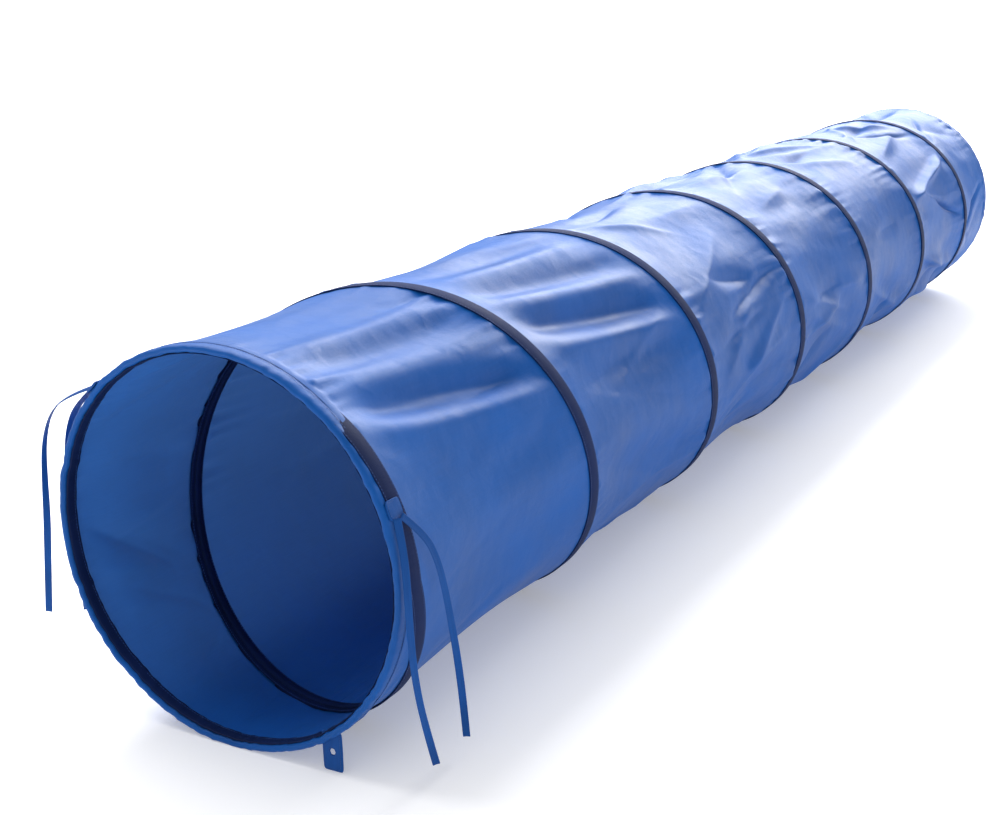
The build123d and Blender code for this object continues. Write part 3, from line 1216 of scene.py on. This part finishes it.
def rounded_outline(width, height, corner, count):
    """Points of a rounded rectangle about its centre, from the middle of its right side."""
    angle = np.linspace(0, 2 * math.pi, count, endpoint=False)
    power = 2.0 / max(2.0, min(width, height) / corner)
    x = np.sign(np.cos(angle)) * np.abs(np.cos(angle)) ** power * width / 2
    y = np.sign(np.sin(angle)) * np.abs(np.sin(angle)) ** power * height / 2
    return np.stack([x, y], axis=1)


def sewn_plate(name, place, width, height, thickness, corner, seed, hole=0.0, hole_up=0.0):
    """The mesh of a flat sewn piece, with a hole or none, made about its centre and then placed."""
    rng = np.random.default_rng(seed)
    outside = rounded_outline(width, height, corner, PLATE_POINTS)
    angle = np.arctan2(outside[:, 1] - hole_up, outside[:, 0])
    inside = np.stack([hole * np.cos(angle), hole_up + hole * np.sin(angle)], axis=1)
    steps = PLATE_STEPS
    flat = inside + (outside - inside) * steps[:, None, None]
    edge = np.minimum(steps if hole > 0 else np.ones_like(steps), 1 - steps)
    body = thickness / 2 * np.clip(np.sqrt(np.clip(edge / 0.05, 0, 1)), 0.25, 1)
    body = body * (1 - 0.35 * np.exp(-(((steps - 0.88) / 0.03) ** 2)))
    along, up = (flat[..., 0] + width) / PLATE_WAVE_SIZE, (flat[..., 1] + height) / PLATE_WAVE_SIZE
    bend = PLATE_WAVE * lattice_noise(along, up, rng)
    front = np.dstack([flat, bend + body[:, None]])
    back = np.dstack([flat, bend - body[:, None]])
    points = np.concatenate([front, back[::-1]])
    mesh = grid_mesh(name, points, points[..., :2] + 1.0, close_rows=True, close_columns=True)
    mend(mesh, merge=SAME_POINT)
    mesh.transform(place)
    mesh.update()
    return mesh


def node_frame(name):
    """The middle of a node's box, and its size."""
    low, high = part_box(name)
    return (low + high) / 2, high - low


BORDER_POINTS = 120


def placed_path(flat, lift, place):
    """A flat path, lifted off its plane and put in its place."""
    lifted = np.column_stack([flat, np.full(len(flat), lift)])
    return np.array([(place @ Vector(point))[:] for point in lifted])


def border_paths(width, height, corner, lift, place, inset):
    """Closed paths for stitches round a sewn piece, on its front and its back."""
    outline = rounded_outline(width - 2 * inset, height - 2 * inset, corner, BORDER_POINTS)
    outline = np.vstack([outline, outline[:1]])
    return [placed_path(outline, side, place) for side in (lift, -lift)]


PATCH_SIZE = (0.0256, 0.0228)  # along the tunnel and round it
PATCH_THICKNESS = 0.0028
PATCH_CORNER = 0.004
PATCH_SEED, PATCH_STITCH_SEED = 80, 90
PATCH_STITCH = (0.0028, 0.0022, 0.0006)  # spacing, length and thread
PATCH_BORDER = 0.0024  # from the patch's edge to its stitches


class TUNNEL_OT_patches(bpy.types.Operator):
    """Makes the small folded patches that hold the ties to the hem"""

    bl_idname = "tunnel.patches"
    bl_label = "Tie patches"

    def execute(self, context):
        for number, side in enumerate(("left", "right")):
            node = f"tie_patch_{side}"
            middle, _ = node_frame(node)
            outward = Vector((0, middle.y, middle.z - AXIS_Z)).normalized()
            along = Vector((1, 0, 0))
            round_it = outward.cross(along)
            turn = Matrix((along, round_it, outward)).transposed().to_4x4()
            place = Matrix.Translation(middle) @ turn
            mesh = sewn_plate(
                f"patch_{side}", place, *PATCH_SIZE, PATCH_THICKNESS, PATCH_CORNER,
                PATCH_SEED + number,
            )
            patch = add_piece(f"patch_{side}", mesh, tie_material())
            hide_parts(node)
            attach(patch, "mouth_end")
            border = border_paths(
                *PATCH_SIZE, PATCH_CORNER, PATCH_THICKNESS / 2, place, PATCH_BORDER,
            )
            stitches = sew(
                f"patch_stitches_{side}", border[:1], *PATCH_STITCH, PATCH_STITCH_SEED + number,
            )
            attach(stitches, "mouth_end")
        return {"FINISHED"}


EYE_HEIGHT = 0.026  # of the peg tab's eye above the ground
EYE_RADIUS = 0.004
EYE_STITCHES = EYE_RADIUS + 0.0012
TAB_THICKNESS = 0.0021
TAB_CORNER = 0.003
TAB_SHORTER = 0.001  # than its node
TAB_SEED, TAB_STITCH_SEED = 100, 110
TAB_STITCH = (0.003, 0.0025, 0.0007)  # spacing, length and thread
TAB_BORDER, TAB_BORDER_LIFT = 0.0028, 0.0010  # of the stitches, in from the edge and off the middle
EYE_LIFT = 0.0011
EYE_STEPS = 40


class TUNNEL_OT_tabs(bpy.types.Operator):
    """Makes the webbing tabs with an eye for a ground peg, one at each end"""

    bl_idname = "tunnel.tabs"
    bl_label = "Peg tabs"

    def execute(self, context):
        turns = np.linspace(0, 2 * math.pi, EYE_STEPS)
        for number, end in enumerate(("mouth", "far")):
            node = f"{end}_peg_tab"
            middle, size = node_frame(node)
            side = -1 if end == "mouth" else 1
            across = Vector((0, -side, 0))
            up = Vector((0, 0, 1))
            turn = Matrix((across, up, across.cross(up))).transposed().to_4x4()
            place = Matrix.Translation(middle) @ turn
            width, height = size.y, size.z - TAB_SHORTER
            eye_up = EYE_HEIGHT - middle.z
            mesh = sewn_plate(
                f"peg_tab_{end}", place, width, height, TAB_THICKNESS, TAB_CORNER,
                TAB_SEED + number, EYE_RADIUS, eye_up,
            )
            tab = add_piece(f"peg_tab_{end}", mesh, webbing_material())
            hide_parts(node)
            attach(tab, f"{end}_end")
            paths = border_paths(width, height, TAB_CORNER, TAB_BORDER_LIFT, place, TAB_BORDER)
            eye = np.column_stack(
                [EYE_STITCHES * np.cos(turns), eye_up + EYE_STITCHES * np.sin(turns)],
            )
            paths += [placed_path(eye, lift, place) for lift in (EYE_LIFT, -EYE_LIFT)]
            stitches = sew(
                f"peg_tab_stitches_{end}", paths, *TAB_STITCH, TAB_STITCH_SEED + number,
            )
            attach(stitches, f"{end}_end")
        return {"FINISHED"}


# --- stage ---------------------------------------------------------------------------------------
CAMERA_PLACE = (-2.73772, -1.07528, 0.89861)
CAMERA_RIGHT = (0.4853952, -0.87411808, -0.01758044)
CAMERA_UP = (0.25722953, 0.1235629, 0.95841806)
CAMERA_FORWARD = (0.83559827, 0.46973374, -0.28482582)
CAMERA_LENS = 53.46  # mm
CAMERA_SENSOR = 36.0  # mm
CAMERA_REACH = 1000.0
FLOOR_HALF = 120.0
# Within the first the floor is greyest, a painted shadow; beyond the second its painted glow is full
# and the floor shows white.
PAINTED_SHADOW_WITHIN, PAINTED_GLOW_FULL_BEYOND = 1.5, 7.0  # metres from the middle of the floor
LIGHTS = {  # where each is, what it faces, and its size
    "overhead": ((0.2, 1.7, 3.2), (0.1, 0.0, 0.2), (5.0, 2.4)),
    "behind": ((9.5, 0.9, 4.9), (-0.2, 0.0, 0.3), (8.0, 4.4)),
}


def floor_painted_light_material():
    """Matt pale floor with painted light: greyer near the middle as a painted shadow of the tunnel,
    and glowing all over, more so further out, so that the far floor shows white.
    """
    material, tree, shader, _ = start_material("pale_floor")
    place = object_place(tree)
    reach = add_node(tree, "ShaderNodeVectorMath", {"operation": "LENGTH"}, i0=place)
    far = add_node(
        tree, "ShaderNodeMapRange",
        Value=reach.outputs["Value"], From_Min=PAINTED_SHADOW_WITHIN, From_Max=PAINTED_GLOW_FULL_BEYOND,
    ).outputs[0]
    # Painted light: the base colour greys towards the middle as a painted shadow of the tunnel, and
    # the emission, a painted glow, brightens the whole floor, more towards its edges.
    set_inputs(
        tree, shader, Specular_IOR_Level=0.2, Roughness=0.85, Emission_Strength=1.0,
        Base_Color=tone_ramp(tree, far, (0.8, 0.8, 0.805, 1), (0.97, 0.97, 0.97, 1), 0.0, 1.0),
        Emission_Color=tone_ramp(tree, far, (0.28, 0.28, 0.282, 1), (0.6, 0.6, 0.6, 1), 0.0, 1.0),
    )
    chained_bumps(tree, shader, (add_noise(tree, place, 300.0, 2.0), 0.1, 0.0002))
    return material


def add_light(name, power):
    place, target, size = LIGHTS[name]
    lamp = bpy.data.lights.new(name, "AREA")
    lamp.shape = "RECTANGLE"
    lamp.size, lamp.size_y = size
    lamp.energy = power
    holder = add_object(name, lamp)
    aim = (Vector(target) - Vector(place)).to_track_quat("-Z", "Y")
    holder.matrix_world = Matrix.Translation(place) @ aim.to_matrix().to_4x4()


class TUNNEL_OT_stage(bpy.types.Operator):
    """Makes the pale floor, the soft lights and the camera"""

    bl_idname = "tunnel.stage"
    bl_label = "Floor, lights and camera"

    def execute(self, context):
        scene = context.scene
        stage = scene.tunnel_stage
        ground = bpy.data.meshes.new("floor")
        half = FLOOR_HALF
        corners = [(-half, -half, 0), (half, -half, 0), (half, half, 0), (-half, half, 0)]
        ground.from_pydata(corners, [], [(0, 1, 2, 3)])
        floor = add_piece("floor", ground, floor_painted_light_material())
        world = bpy.data.worlds.new("studio")
        world.use_nodes = True
        sky = world.node_tree.nodes["Background"]
        sky.inputs["Color"].default_value = (1.0, 1.0, 1.0, 1.0)
        sky.inputs["Strength"].default_value = stage.sky
        scene.world = world
        add_light("overhead", stage.key_power)
        add_light("behind", stage.back_power)
        scene.view_settings.view_transform = "Standard"
        lens = bpy.data.cameras.new("camera")
        lens.lens = CAMERA_LENS
        lens.sensor_width = CAMERA_SENSOR
        lens.clip_end = CAMERA_REACH
        camera = add_object("camera", lens)
        back = -Vector(CAMERA_FORWARD)
        turn = Matrix((CAMERA_RIGHT, CAMERA_UP, back)).transposed().to_4x4()
        camera.matrix_world = Matrix.Translation(CAMERA_PLACE) @ turn
        scene.camera = camera
        return {"FINISHED"}


# --- panel and running ---------------------------------------------------------------------------
GROUPS = {"tunnel_cloth": TunnelCloth, "tunnel_tapes": TunnelTapes, "tunnel_stage": TunnelStage}
OPERATORS = (
    TUNNEL_OT_stage, TUNNEL_OT_ties, TUNNEL_OT_cloth, TUNNEL_OT_casing, TUNNEL_OT_wire,
    TUNNEL_OT_stitches, TUNNEL_OT_hems, TUNNEL_OT_fittings, TUNNEL_OT_patches, TUNNEL_OT_tabs,
)


class TUNNEL_PT_sidebar(bpy.types.Panel):
    """The tunnel's sizes, and a button for each group of pieces"""

    bl_idname = "TUNNEL_PT_sidebar"
    bl_label = "Agility tunnel"
    bl_space_type = "VIEW_3D"
    bl_region_type = "UI"
    bl_category = "Tunnel"

    def draw(self, context):
        for group in (getattr(context.scene, name) for name in GROUPS):
            box = self.layout.box()
            for name in group.bl_rna.properties.keys():
                if name not in ("rna_type", "name"):
                    box.prop(group, name)
        for operator in OPERATORS:
            self.layout.operator(operator.bl_idname)


def register():
    for kind in (*GROUPS.values(), *OPERATORS, TUNNEL_PT_sidebar):
        bpy.utils.register_class(kind)
    for name, kind in GROUPS.items():
        setattr(bpy.types.Scene, name, PointerProperty(type=kind))


def unregister():
    for name in GROUPS:
        delattr(bpy.types.Scene, name)
    for kind in reversed((*GROUPS.values(), *OPERATORS, TUNNEL_PT_sidebar)):
        bpy.utils.unregister_class(kind)


def main():
    register()
    for operator in OPERATORS:
        group, action = operator.bl_idname.split(".")
        getattr(getattr(bpy.ops, group), action)()
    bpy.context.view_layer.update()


if __name__ == "__main__":
    main()
